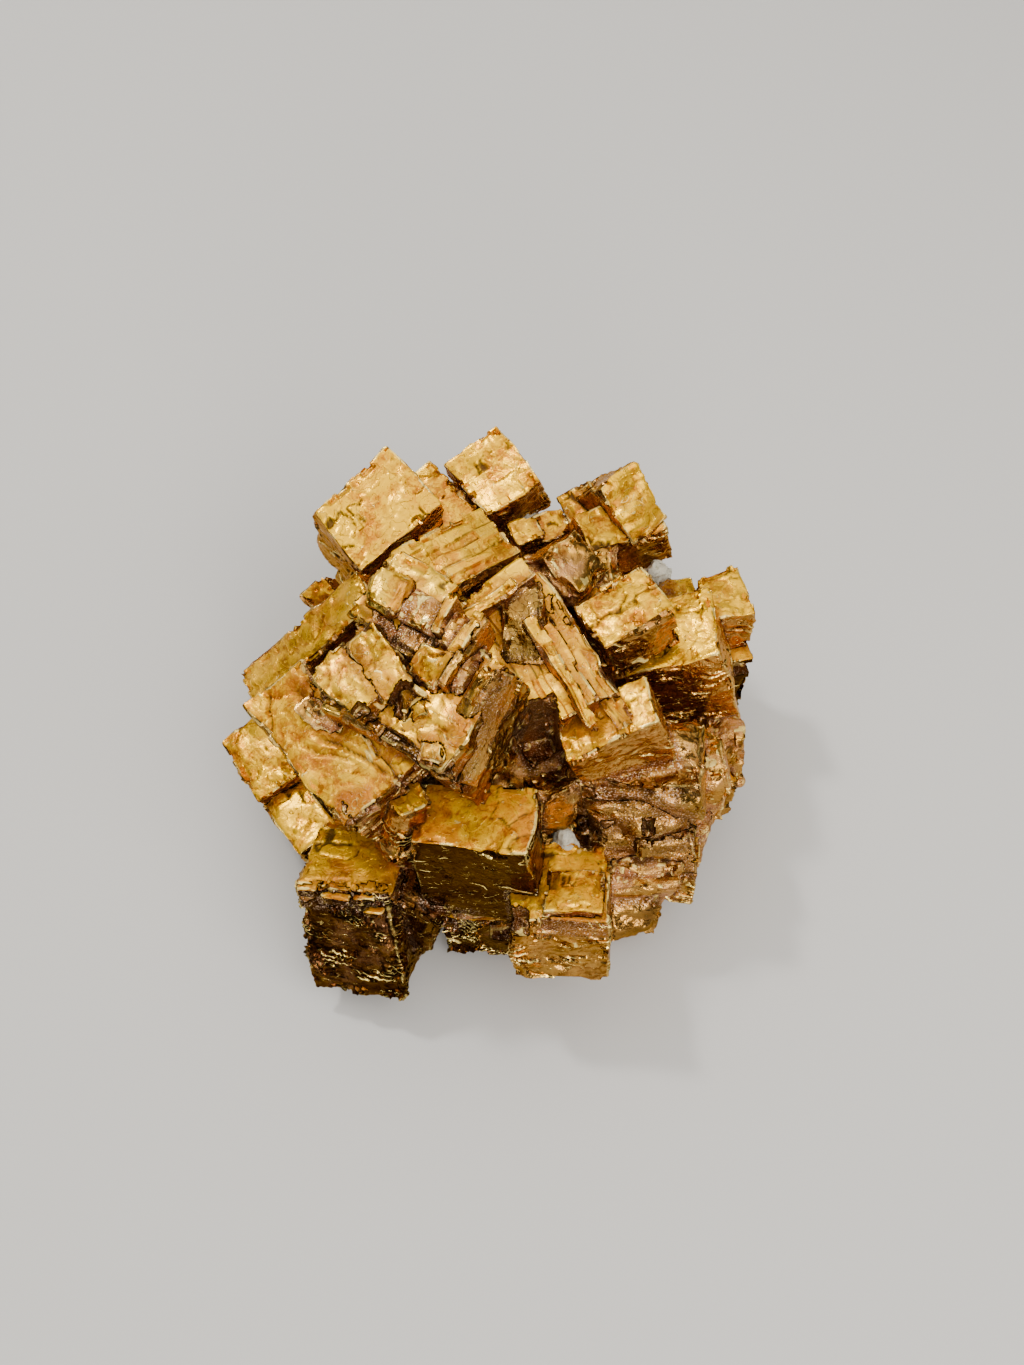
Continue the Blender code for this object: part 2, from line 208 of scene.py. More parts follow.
CROWN = (
    CROWN_BODY,
    on(CROWN_BODY, "crown_blade", (10.4, 1.6, 5.2), (-0.4, -6.7, 3.0), "glassy", (-14, -17, 0)),
    on(CROWN_BODY, "crown_band", (1.1, 14.2, 5.2), (-5.1, -0.4, 1.9), "banded", (0, 0, 0)),
    on(CROWN_BODY, "crown_olive_ledge", (1.6, 6.6, 3), (-5.1, 2.8, 3.9), "glassy", (1, -2, 2)),
    on(CROWN_BODY, "crown_sparkle", (2.2, 2.6, 1.2), (-4.6, -5.6, 4.95), "sparkle", (4, 6, 20)),
    Crystal("crown_back", (7.5, 7, 9), (-6.5, 2.5, 31.5), (-4, -12, 50), "olive"),
    Crystal("back_terrace", (12, 6.5, 10), (-4, 8.5, 28), (2, 10, 39), "terraced"),
    Crystal("terrace_ridge", (10, 2, 3), (0, 4.5, 31.5), (6, -4, 36), "terraced"),
    Crystal("terrace_inner_ridge", (8, 1.2, 3), (-0.6, 3, 32.2), (6, -4, 38), "terraced"),
    on(CROWN_PLATE, "crown_west_flake", (4.4, 6.2, 3.8), (-4.7, 1.9, -0.15), "curled", (0, 2, -12)),
    on(CROWN_PLATE, "crown_middle_flake", (3.4, 7.4, 4), (-2.3, 0.7, 0.05), "curled", (2, -3, -22)),
    on(CROWN_PLATE, "crown_east_flake", (3, 3.2, 4), (-0.1, -3.8, 0), "curled", (-2, 0, 6)),
    on(CROWN_PLATE, "crown_valley", (3, 7.6, 3.2), (0.8, 0.9, -0.55), "valley", (0, 5, 0)),
    on(CROWN_PLATE, "crown_nose", (3.8, 4.4, 4.6), (3.7, 3.8, 0.1), "nose", (6, -4, 14)),
    on(CROWN_PLATE, "crown_saddle", (3.2, 4.4, 4.2), (3.5, 0.1, -0.1), "lump", (-3, 0, 4)),
    on(CROWN_PLATE, "crown_short_bar", (3.9, 1, 4), (4.1, -2.1, 0.1), "bar", (0, 0, 3)),
    on(CROWN_PLATE, "crown_crumbs", (4, 1.8, 3.6), (3.6, -3.4, -0.1), "lump", (0, 0, 1)),
    on(CROWN_PLATE, "crown_long_bar", (4.4, 1.2, 4), (3.4, -4.8, 0.1), "bar", (0, 0, -2)),
    on(CROWN_PLATE, "crown_wall", (7, 0.8, 4), (1.9, -5.5, -0.1), "glassy", (0, 0, 0)),
    on(CROWN_PLATE, "crown_pink_bar", (5.2, 1.7, 3), (0.9, -6.6, -0.95), "grainy", (0, 0, 1)),
    on(CROWN_PLATE, "crown_golden_bar", (4.9, 1.6, 3), (1.1, -8.3, -0.85), "bar", (0, 0, -1)),
)
SLOPE_BODY = Crystal("slope", (10, 14, 10), (4.5, 0.5, 25.5), (10, -12, 28), "ribbed")
SLOPE = (
    SLOPE_BODY,
    on(SLOPE_BODY, "slope_lens", (4.2, 8, 3), (0.7, 3.2, 4.2), "lens", (0, 6, -26)),
    on(SLOPE_BODY, "slope_bar", (1.3, 9, 3), (2.6, -2.6, 4.1), "bar", (0, 0, 3)),
    Crystal("slope_ridge", (1.3, 12, 12), (7.6, -1.6, 26.6), (10, -12, 28), "ribbed"),
    Crystal("slope_outer_ridge", (1.8, 13.5, 11), (9.4, 0.2, 24.9), (10, -12, 28), "ribbed"),
    Crystal("rough_boss", (5.5, 5.5, 8), (6.5, 12, 24.5), (28, 8, 48), "grainy"),
    Crystal("rough_boss_low", (5, 6, 7), (10.5, 12.5, 22.5), (12, 14, 20), "grainy"),
)
FLANKS = tuple(Crystal("flank_" + name, size, at, turn, "hidden", 1.4) for name, size, at, turn in (
    ("back_cube", (10, 10, 11), (-10.5, 20, 11), (14, 16, 22)),
    ("back_middle", (10, 9, 12), (-1, 24, 10), (-12, 8, -18)),
    ("back_right", (9, 10, 10), (9.5, 21, 9), (10, -12, 32)),
    ("right_back", (9, 9, 10), (18, 14, 9.5), (-8, 14, 12)),
    ("right", (8, 9, 9), (20.5, 4, 7.5), (14, -8, 28)),
    ("right_front", (7, 8, 8), (18.5, -5, 7), (8, 10, -16)),
    ("left_back", (9, 9, 10), (-15.5, 8.5, 11), (10, 10, -24)),
    ("left", (8, 9, 9), (-20, 4.5, 10), (6, -14, 12)),
    ("left_front", (7, 8, 9), (-14.5, -5, 7), (12, 8, 30)),
    ("front", (10, 7, 8), (4, -13.5, 6), (-6, 6, 10)),
    ("back_low", (8, 7, 7), (3.5, 24.5, 5), (18, 20, 40)),
    ("left_low", (7, 8, 7), (-19, 12, 5.5), (-14, 18, 8)),
))
CORE = (
    Crystal("core", (27, 25, 30), (-1, 2, 5.5), (4, -6, 22), "grainy", 2.2),
    Crystal("core_back", (24, 18, 26), (5, 12, 3.5), (-6, 5, -14), "grainy", 2.2),
    Crystal("core_front", (22, 16, 24), (6, -8, 2), (8, 4, 8), "grainy", 2.2),
    Crystal("core_left", (15, 19, 20), (-10.5, 2.5, 3.5), (-5, 8, 35), "grainy", 2.2),
    Crystal("core_crown", (12, 12, 16), (-3.5, -0.5, 20), (6, 8, 50), "grainy", 2.0),
)

CROWN_PIT = on(CROWN_PLATE, "crown_pit", (3, 2.8, 3.4), (-3.7, -3.4, 1.3), "pit", (5, 4, 12))
SHARDS = (
    on(CROWN_PIT, "pit_bowl", (2.2, 1.8, 1.6), (0.5, 0.5, -1.9), "nose", (20, -14, 25)),
    on(CROWN_PIT, "pit_shard", (2.4, 0.5, 2.4), (-0.9, -0.2, -1.2), "shard", (10, 30, 20)),
    on(CROWN_PIT, "pit_flake", (0.5, 2.4, 2.2), (0.9, -0.7, -1), "shard", (25, 10, -12)),
    on(CROWN_PIT, "pit_chip", (2, 1.6, 0.6), (-0.4, -1.4, -0.9), "curled", (-12, 14, 30)),
    on(CROWN_PIT, "pit_sliver", (0.5, 2.2, 2.2), (0.2, -0.6, -1.3), "shard", (-20, 14, 50)),
    on(CROWN_PIT, "pit_plate", (2.6, 1.8, 0.7), (-1.6, -1.7, -0.9), "curled", (6, -8, -20)),
)
# Pits and notches, taken out of the group of crystals that each is in.
HOLLOWS = {
    "crown": (
        CROWN_PIT,
        Crystal("crown_notch", (1.7, 1.2, 1.8), (-11, -9, 34.6), (-9, -15, 56), "pit"),
    ),
    "slope": (Crystal("deep_pit", (4.2, 5.5, 12), (4.7, -7.2, 27), (0, 0, 12), "pit"),),
    "shelves": (Crystal("shelf_hole", (1.2, 5, 2), (15.5, -11.5, 17.4), (0, 0, 8), "pit"),),
    "front": (
        Crystal("front_gap", (2.5, 5, 3.5), (1.6, -20.5, 7.5), (0, 0, 10), "pit"),
        Crystal("front_notch", (2.4, 5, 3), (2.6, -22.6, 18.6), (-17, -5, -2), "pit"),
    ),
    "right": (Crystal("right_notch", (3, 4, 2.2), (26.4, 6.6, 14.6), (0, 0, 12), "pit"),),
}
CRYSTALS = BACK + RIGHT + FRONT + SHELVES + LEFT + CROWN + SLOPE + FLANKS + CORE


class Furrow(NamedTuple):
    """A groove in a crystal's top from one point to another in its own mm; a ridge below 0."""
    start: tuple
    end: tuple
    width: float
    depth: float
    # How much darker the groove is drawn.
    darkening: float = 1.0


FURROWS = {
    "left_big_face": (
        Furrow((0.3, 0.6), (3.2, -6.4), 0.5, 0.4),
        Furrow((-1.4, 0.8), (1.2, -3.4), 0.35, 0.25, 0.7),
        Furrow((1.5, 5.6), (1.8, -1.4), 0.7, 0.35, 0.5),
        Furrow((-2.8, 3.6), (-0.5, 7), 0.4, 0.4),
    ),
}

# Name, place and size in mm and turn in degrees of each grain of host rock.
ROCK_GRAINS = (
    ("rock_back", (3.2, 24.2, 18.6), (3.4, 2.2, 2.6), 20),
    ("rock_right", (17.9, 17.4, 17.6), (2.8, 2.4, 2.2), 0),
    ("rock_gap", (7.4, -12.9, 15.4), (2.2, 3.4, 3.8), 12),
    ("rock_left", (-15.6, -8.6, 8.6), (1.6, 1.8, 1.6), 0),
)
ROCK_CUTS = 5      # times that a grain's faces are halved
ROCK_SWELL = 0.3   # mm that facets and lumps each raise or lower a grain's skin

# Name, place and size in metres and colour of each square light.  Its power is a setting.
LIGHTS = (
    ("key", (-0.06, 0.16, 0.36), 0.48, (1.0, 0.94, 0.84)),
    ("sky", (0, 0.03, 0.6), 1.0, (1.0, 0.96, 0.9)),
    ("fill", (0.16, -0.17, 0.33), 0.3, (1.0, 0.96, 0.9)),
    ("glint", (0.06, -0.36, 0.09), 0.13, (1.0, 0.95, 0.88)),
    ("spark", (-0.2, 0.16, 0.42), 0.04, (1.0, 0.98, 0.94)),
)
LIGHTS_AIM = Vector((0, 0, 0.015))
FLOOR_SIZE = 3.0
FLOOR_DROP = 0.00005   # below the cluster's flat underside


def length_setting(name, description, default, least=0.0):
    """A setting for a length in metres."""
    return bpy.props.FloatProperty(name=name, description=description, default=default,
                                   min=least, subtype="DISTANCE", unit="LENGTH")


def colour_setting(name, description, default):
    """A setting for a colour."""
    return bpy.props.FloatVectorProperty(name=name, description=description, default=default,
                                         size=3, min=0.0, max=1.0, subtype="COLOR")


def power_setting(name, description, default):
    """A setting for a light's power in watts."""
    return bpy.props.FloatProperty(name=name, description=description, default=default,
                                   min=0.0, unit="POWER")


class PyriteSizes(bpy.types.PropertyGroup):
    """Sizes of the relief on the crystals."""
    net: length_setting("Net", "Spacing of the net of points on a crystal's faces", 0.00018, 0.0001)
    wear: length_setting("Wear", "Rounding that wear left on a crystal's edges", 0.0002, 0.00005)
    plate: length_setting("Plate", "Height of one growth plate on a golden face", 0.00014)
    ridge: length_setting("Ridge", "Height of the wavy ridges on an upright face", 0.00028)
    ledge: length_setting("Ledge", "Depth between the ledges of a layered face", 0.00045)
    bend: length_setting("Bend", "How far crystals stray from true cubes", 0.0004)
    notch: length_setting("Notch", "Depth of the blocky notches along a crystal's edges", 0.00038)
    crack: length_setting("Crack", "Depth of the cracks between flakes", 0.00014)


class PyriteColours(bpy.types.PropertyGroup):
    """Colours and finish of the skin, the host rock and the floor."""
    # Gold goes on faces that look up, partly as painted light from above.
    gold: colour_setting("Gold", "Yellow-golden oxide on faces that look up", (1.0, 0.55, 0.0))
    orange: colour_setting("Orange", "Orange patches of the golden oxide", (0.72, 0.26, 0.0))
    # Chocolate and amber colour upright faces; how dark they are is partly painted shade and
    # reflection.
    chocolate: colour_setting("Chocolate", "Darkest oxide on upright faces", (0.04, 0.012, 0.0))
    amber: colour_setting("Amber", "Lightest oxide on upright faces", (0.53, 0.27, 0.06))
    # Painted shade: lows, feet of steps and joins between crystals are multiplied by this colour.
    shade: colour_setting("Shade", "What darkens the mottles of every film", (0.38, 0.19, 0.05))
    olive: colour_setting("Olive", "Smooth olive film", (0.55, 0.4, 0.05))
    rust: colour_setting("Rust", "Granular pinkish-brown rust", (0.6, 0.27, 0.14))
    frost: colour_setting("Frost", "Pale grains in rust and where crystals meet", (1.0, 0.72, 0.5))
    # Painted highlight: pale glints on lips, ridges and steps, and worn edges that are part wear.
    lip: colour_setting("Lip", "Bare metal on worn lips and ridges", (1.0, 0.76, 0.22))
    # Dark of cracks and pits, partly painted shade in lows and at the feet of ridges and ledges.
    crevice_and_shade: colour_setting("Crevice", "Dirt in cracks and pits", (0.035, 0.015, 0.006))
    metal: bpy.props.FloatProperty(
        name="Metal", description="How metallic the skin is",
        default=1.0, min=0.0, max=1.0, subtype="FACTOR")
    rock: colour_setting("Host rock", "Grains of host rock in the gaps", (0.6, 0.58, 0.48))
    rock_pale: colour_setting("Pale host rock", "Paler patches of the host rock", (0.78, 0.75, 0.6))
    rock_dark: colour_setting("Dark host rock", "Dark specks in the host rock", (0.16, 0.12, 0.08))
    floor: colour_setting("Floor", "Plain pale floor", (0.6, 0.595, 0.585))


class PyriteStudio(bpy.types.PropertyGroup):
    """Camera and lights."""
    lens: bpy.props.FloatProperty(
        name="Lens", description="Focal length of the camera", default=34.3, unit="CAMERA")
    camera_at: bpy.props.FloatVectorProperty(
        name="Camera", description="Place of the camera",
        default=(0.00242, -0.06575, 0.1322), size=3, subtype="TRANSLATION", unit="LENGTH")
    pitch: bpy.props.FloatProperty(
        name="Pitch", description="Turn of the camera up from looking straight down",
        default=math.radians(30), subtype="ANGLE", unit="ROTATION")
    key: power_setting("Key light", "Power of the large soft light above the back", 0.8)
    sky: power_setting("Sky light", "Power of the broad weak light overhead", 2.3)
    fill: power_setting("Fill light", "Power of the soft light from the front right", 1.1)
    glint: power_setting("Glint light", "Power of the low light in front that finds the ridges", 0.8)
    spark: power_setting("Spark light", "Power of the small light that makes sharp edges sparkle", 1.0)
    room: bpy.props.FloatProperty(
        name="Room light", description="Strength of the even light all round",
        default=0.16, min=0.0)


# ---- noise, worked out for all points at once -------------------------------------------------

FAR_OFF = 9.0   # past any distance that counts
HASH_PRIMES = 73856093, 19349663, 83492791   # for x, y and z
HASH_SEED_PRIME = 2654435761
HASH_ROUNDS = (13, 1274126177), (16, 2246822519), (15, 1)   # a shift and a factor each


def hashed(cells, seed):
    """A number from 0 to 1 for each whole-numbered cell, the same in every run."""
    mixed = np.uint32(seed * HASH_SEED_PRIME & 0xFFFFFFFF)
    for axis, prime in enumerate(HASH_PRIMES):
        mixed = mixed ^ cells[..., axis].astype(np.uint32) * np.uint32(prime)
    for shift, factor in HASH_ROUNDS:
        mixed = (mixed ^ mixed >> np.uint32(shift)) * np.uint32(factor)
    return (mixed & np.uint32(0xFFFFFF)).astype(np.float32) / np.float32(0xFFFFFF)


def noise(points, seed):
    """Smooth noise from -1 to 1, with lumps about one unit across."""
    cell = np.floor(points)
    part = (points - cell).astype(np.float32)
    ease = part * part * (3 - 2 * part)
    cell = cell.astype(np.int64)
    total = np.zeros(len(points), np.float32)
    for corner in product((0, 1), repeat=3):
        weight = np.ones(len(points), np.float32)
        for axis, step in enumerate(corner):
            weight *= ease[:, axis] if step else 1 - ease[:, axis]
        total += weight * hashed(cell + corner, seed)
    return 2 * total - 1


def fractal(points, seed, octaves=3):
    """Noise with finer noise on it, from about -1 to 1."""
    total = sum(noise(points * 2.03 ** step, seed + step) * 0.5 ** step
                for step in range(octaves))
    return total / 1.5


def warped(points, seed, reach, scale):
    """Points pushed about by noise, so that straight outlines turn ragged."""
    push = [noise(points / scale, seed + axis) for axis in range(3)]
    return points + reach * np.stack(push, 1)


def blocks(points, seed):
    """Blocky cells: each point's own number from -1 to 1, and its distance to a boundary."""
    cell = np.floor(points).astype(np.int64)
    nearest = np.full(len(points), FAR_OFF, np.float32)
    second = nearest.copy()
    number = np.zeros(len(points), np.float32)
    for step in product((-1, 0, 1), repeat=3):
        near = cell + step
        heart = near + np.stack([hashed(near, seed + axis) for axis in range(3)], 1)
        away = np.abs(points - heart).max(1).astype(np.float32)
        closer = away < nearest
        second = np.where(closer, nearest, np.minimum(second, away))
        number = np.where(closer, hashed(near, seed + 3), number)
        nearest = np.where(closer, away, nearest)
    return 2 * number - 1, second - nearest


def smooth(low, high, value):
    """0 below low, 1 above high and an eased step between."""
    part = np.clip((value - low) / (high - low), 0, 1)
    return part * part * (3 - 2 * part)


# ---- relief of the faces ----------------------------------------------------------------------
# Each takes points in a crystal's own axes in mm, a seed, the habit and the sizes, and gives a
# height in mm, three masks from 0 to 1 (how high a point stands, which the skin turns into
# painted shade in the lows; pale lips, which are painted glints; and dark cracks, partly real and
# partly painted shade in troughs and at the feet of ridges and ledges) and the run that whole
# ridges are counted along, whose lips are near the end of each whole number.

LIP_PART = 0.92   # where in a ridge's run its lip is


def plates(points, seed, habit, sizes):
    """Blocky growth plates of two sizes with ragged outlines, and short cracks."""
    ragged = warped(warped(points, seed, 0.3, 1.2), seed + 5, 0.09, 0.3)
    large, gap = blocks(ragged / 3.3, seed + 11)
    small, small_gap = blocks(ragged / 1.15, seed + 21)
    patch = smooth(0.0, 0.3, noise(points / 2.4, seed + 31))
    broken = smooth(0.25, 0.4, noise(points / 1.9, seed + 32))
    crack = smooth(0.055, 0.02, gap) * broken
    height = (0.6 * large + 0.45 * small * patch) * sizes.plate - sizes.crack * crack
    # Painted glints on the plates' edges.
    lip = smooth(0.05, 0.0, gap) * (large > 0.2)
    lip = lip + smooth(0.08, 0.0, small_gap) * (small > 0.4) * patch
    lip = lip * smooth(0.0, 0.5, noise(points / 0.6, seed + 33)) * (1 - crack)
    high = 0.5 + 0.25 * large + 0.2 * small * patch
    height = height / MM + 0.03 * noise(points / 0.7, seed + 40)
    return height, high, 0.7 * lip, crack, 0 * height + LIP_PART


def shells(points, seed, habit, sizes):
    """Curved flakes, one inside another round a corner, like the growth of a shell."""
    ragged = warped(warped(points, seed, 0.7, 2.2), seed + 5, 0.12, 0.35)
    run = np.linalg.norm((ragged - ragged.min(0)) * (1.0, 0.8, 1.0), axis=1) / 1.15
    part = run - np.floor(run)
    level = hashed(np.stack([np.floor(run)] * 3, 1).astype(np.int64), seed + 7)
    patch = smooth(-0.5, 0.1, noise(points / 2.6, seed + 31))
    # Clefts darkened as painted shade; the lips carry painted glints.
    cleft = smooth(0.08, 0.0, part) * smooth(0.0, 0.5, noise(points / 1.3, seed + 33)) * patch
    height = sizes.plate * (1.1 * part + 0.8 * level) * patch - sizes.crack * cleft
    lip = patch * smooth(-0.1, 0.4, noise(points / 0.8, seed + 34))
    high = 0.15 + 0.6 * part * patch + 0.25 * level
    height = height / MM - 0.1 + 0.05 * fractal(points / 0.9, seed + 40)
    return height, high, 0.8 * lip, cleft, run


def waves(points, seed, habit, sizes):
    """Long soft folds that run down a slope, with streaks of painted highlight."""
    swell = fractal(points / (3.6, 1.8, 1.8), seed, 3)
    streak = noise(points / (1.6, 0.5, 0.5), seed + 9)
    run = 3.2 * swell + 0.6 * streak
    lip = smooth(0.1, 0.6, noise(points / 1.2, seed + 10))
    height = 2.4 * sizes.plate / MM * swell + 0.04 * streak
    high = 0.5 + 0.5 * swell + 0.15 * streak
    # The deepest troughs are darkened as painted shade.
    return height, high, lip, 0.4 * smooth(-0.5, -0.8, swell), run


def scales(points, seed, habit, sizes):
    """Wavy ridges that run across an upright face, like overlapping scales."""
    slant = 0.35 * (points[:, 0] + points[:, 1])
    wave = 1.7 * noise(points / (3.4, 3.4, 2.2), seed) + 0.45 * noise(points / 0.9, seed + 1)
    run = (points[:, 2] + slant) / (1.4 - 0.4 * habit.depth) + wave
    part = run - np.floor(run)
    strength = smooth(0.35 - 0.5 * habit.depth, 0.6, noise(points / (2.2, 2.2, 1.2), seed + 2))
    ridge = part ** 2.2 * smooth(1.0, 0.88, part) * strength
    height = sizes.ridge / MM * ridge + 0.05 * fractal(points / 0.9, seed + 3, 2)
    # Painted glints on the ridges' lips, painted shade at their feet.
    lip = strength * smooth(-0.25, 0.1, noise(points / 2.0, seed + 6))
    high = 0.4 + (0.75 * part - 0.35) * strength + 0.2 * noise(points / 2.2, seed + 5)
    return height, high, lip, 0.4 * smooth(0.12, 0.0, part) * strength, run


def layers(points, seed, habit, sizes):
    """Ledges of uneven depth and thickness, stacked along one axis, rough with rust."""
    along = points[:, habit.stack]
    sway = 0.22 * noise(points / 3.5, seed) + 0.06 * noise(points / 0.5, seed + 1)
    run = along / 0.8 + sway + 0.5 * noise(np.stack([along / 1.6] * 3, 1), seed + 5)
    level = np.floor(run)
    part = run - level
    piece = np.floor(warped(points, seed + 8, 0.3, 0.9) / 5.5)
    piece[:, habit.stack] = 0
    here, above = (hashed((piece + step[:, None] * (1, 7, 13)).astype(np.int64), seed + 2)
                   for step in (level, level + 1))
    depth = here + (above - here) * smooth(0.84, 1.0, part)
    grain = fractal(points / 0.8, seed + 4)
    # Painted glints on the edges of higher ledges, painted shade at the feet of lower ones.
    lip = 0.8 * (here > above) * smooth(-0.4, 0.2, grain)
    crack = smooth(0.2, 0.0, part) * (here < 0.5)
    height = sizes.ledge / MM * (depth - 0.6) + 0.05 * grain
    return height, 0.7 * depth + 0.2 + 0.2 * grain, lip, crack, run


def grains(points, seed, habit, sizes):
    """Granular rust with lumps and small pits."""
    lumps = fractal(points / 1.8, seed, 4)
    grain = np.abs(noise(points / 0.5, seed + 6))
    height = 0.8 * sizes.ledge / MM * lumps + 0.1 * grain
    # Pale high grains are painted glints, and the low places get painted shade.
    lip, crack = smooth(0.5, 0.8, grain), 0.4 * smooth(-0.2, -0.6, lumps)
    return height, 0.5 + 0.5 * lumps, lip, crack, 0 * height + LIP_PART


def film(points, seed, habit, sizes):
    """A smooth film with faint waves."""
    swell = fractal(points / 3.4, seed, 2)
    height = 0.6 * sizes.plate / MM * swell
    return height, 0.6 + 0.3 * swell, 0 * swell, 0 * swell, 0 * swell + LIP_PART


RELIEFS = {made.__name__: made for made in (plates, shells, waves, scales, layers, grains, film)}


# ---- modelling --------------------------------------------------------------------------------

MOST_CUTS = 100             # the most cuts that one subdivision makes
MOSTLY = 0.9                # of a block's length, which only the edges along it span
FAR_APART = 1.0             # mm between two crystals' round outlines: they can't be joined
# Within this reach crystals are darkened as painted shade where they meet, and frost shows.
JOIN_REACH = 1.6            # mm from another crystal within which the dirt of the join shows
SCATTER = 37                # mm that a crystal's noise may be shifted, so that no two match
RELIEF_LIMITS = -0.9, 0.5   # mm, the deepest and the highest that relief may go
LEAST_WEAR = 0.05           # mm
MOST_WEAR = 0.7             # of half the crystal's shortest side
RUN_WRAP = 64               # whole ridges after which the count starts again
SMOOTH_ANGLE = math.radians(34)
GROUND_SIZE = 0.3
CRYSTAL_SEEDS = 7           # from one crystal's seed to the next one's
HOLLOW_SEED = 300           # from a piece's seed to its first hollow's


def deselect_all():
    """Leaves nothing selected."""
    bpy.ops.object.select_all(action="DESELECT")


def points_of(mesh):
    """A mesh's points as rows of x, y and z."""
    flat = np.empty(len(mesh.vertices) * 3, np.float32)
    mesh.vertices.foreach_get("co", flat)
    return flat.reshape(-1, 3)


def set_points(mesh, placed):
    """Moves a mesh's points to places in mm, measured from the setting-out point."""
    mesh.vertices.foreach_set("co", ((placed - MIDDLE) * MM).astype(np.float32).ravel())


def drop_uvs(mesh):
    """Deletes the UV maps that came with a primitive."""
    while mesh.uv_layers:
        mesh.uv_layers.remove(mesh.uv_layers[0])


def cut_across(block, axis, length, cuts):
    """Cuts every edge that runs along one axis from end to end of the block."""
    mesh = block.data
    points = points_of(mesh)
    ends = np.empty(len(mesh.edges) * 2, np.int32)
    mesh.edges.foreach_get("vertices", ends)
    ends = ends.reshape(-1, 2)
    along = np.abs(points[ends[:, 1], axis] - points[ends[:, 0], axis]) > MOSTLY * length
    mesh.vertices.foreach_set("select", np.zeros(len(mesh.vertices), bool))
    mesh.polygons.foreach_set("select", np.zeros(len(mesh.polygons), bool))
    mesh.edges.foreach_set("select", along)
    bpy.ops.object.mode_set(mode="EDIT")
    bpy.context.tool_settings.mesh_select_mode = (False, True, False)
    bpy.ops.mesh.subdivide(number_cuts=cuts)
    bpy.ops.object.mode_set(mode="OBJECT")


def netted_block(name, size, net):
    """A box in mm, centred on the origin, with an even net of faces all over."""
    deselect_all()
    bpy.ops.mesh.primitive_cube_add(size=1, scale=size)
    block = bpy.context.object
    block.name = name
    bpy.ops.object.transform_apply(location=False, rotation=False, scale=True)
    for axis in range(3):
        cuts = min(MOST_CUTS, round(size[axis] / net) - 1)
        cut_across(block, axis, size[axis], cuts)
    drop_uvs(block.data)
    return block


def nearness(crystal, points):
    """How close points in mm are to where another crystal meets this one, from 0 to 1."""
    closest = np.full(len(points), FAR_OFF, np.float32)
    for other in CRYSTALS:
        reach = (np.linalg.norm(other.size) + np.linalg.norm(crystal.size)) / 2
        if other.name == crystal.name or math.dist(other.at, crystal.at) > reach + FAR_APART:
            continue
        inside = (points - other.at) @ turn_matrix(other.turn)
        beyond = np.abs(inside) - np.array(other.size) / 2
        outside = np.linalg.norm(np.maximum(beyond, 0), axis=1)
        closest = np.minimum(closest, outside)
    return smooth(JOIN_REACH, 0.0, closest)


def furrowed(crystal, flat, own, seed):
    """Depth in mm of the furrows at each point, and how much darker they are drawn."""
    ragged = warped(own, seed + 90, 0.35, 1.0)[:, :2] - own[:, :2] + flat[:, :2]
    depth = np.zeros(len(flat), np.float32)
    darkening = depth.copy()
    for furrow in FURROWS.get(crystal.name, ()):
        start, run = np.array(furrow.start), np.subtract(furrow.end, furrow.start)
        share = np.clip((ragged - start) @ run / (run @ run), 0, 1)
        away = np.linalg.norm(ragged - start - share[:, None] * run, axis=1)
        taper = smooth(0, 0.15, share) * smooth(1, 0.85, share) * 0.7 + 0.3
        depth += furrow.depth * taper * smooth(furrow.width, 0, away)
        darkening = np.maximum(darkening, furrow.darkening * taper * smooth(0.55 * furrow.width, 0, away))
    return depth, darkening


